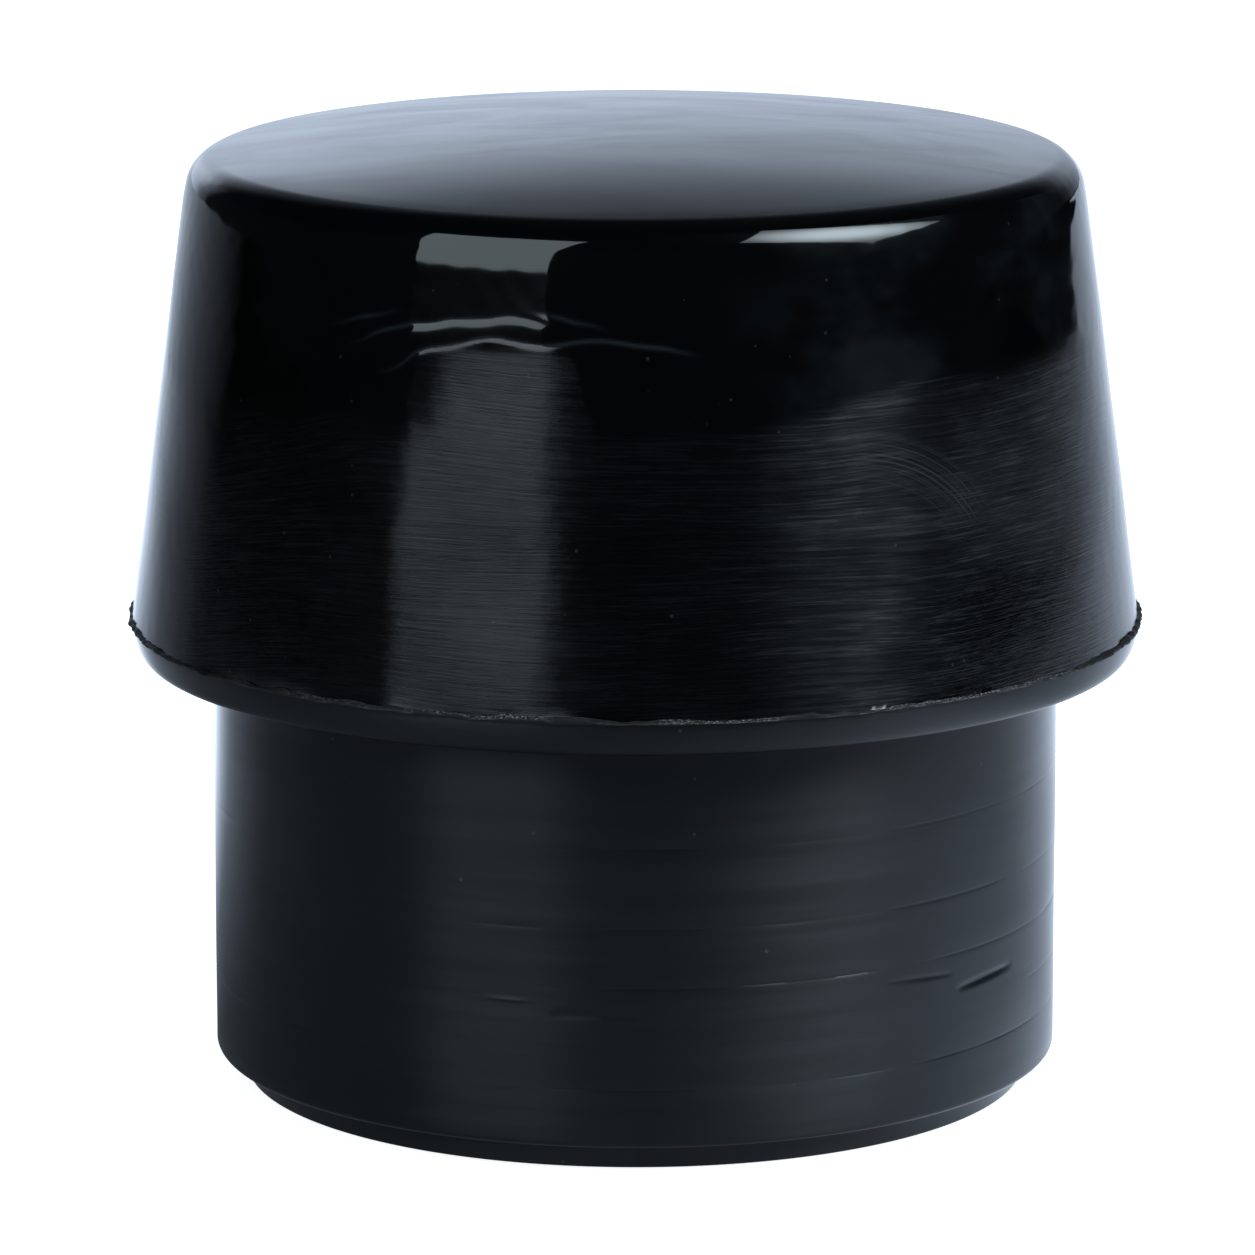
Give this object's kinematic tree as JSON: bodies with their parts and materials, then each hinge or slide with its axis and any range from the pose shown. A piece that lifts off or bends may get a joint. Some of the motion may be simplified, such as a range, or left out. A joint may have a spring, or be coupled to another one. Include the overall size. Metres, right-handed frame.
{
  "type": "soft-face mallet insert",
  "caption": "Replaceable striking face for a split-housing mallet: a tapered rubber head with a crowned face, on a shouldered spigot that the housing clamps.",
  "frame": {"origin": "centre of the end pad's flat face, at the bottom of the spigot, on the axis", "axes": "+Z along the axis from the spigot's end to the striking face; the part is a solid of revolution, so +X and +Y are free"},
  "size_m": [0.0608, 0.0608, 0.0574],
  "materials": {
    "head_rubber": "glossy near the face, scuffed towards the flash line",
    "core_plastic": "satin, with faint turned lines"
  },
  "bodies": {
    "root": {"striking_head": "head_rubber", "spigot_core": "core_plastic"}
  },
  "joints": []
}
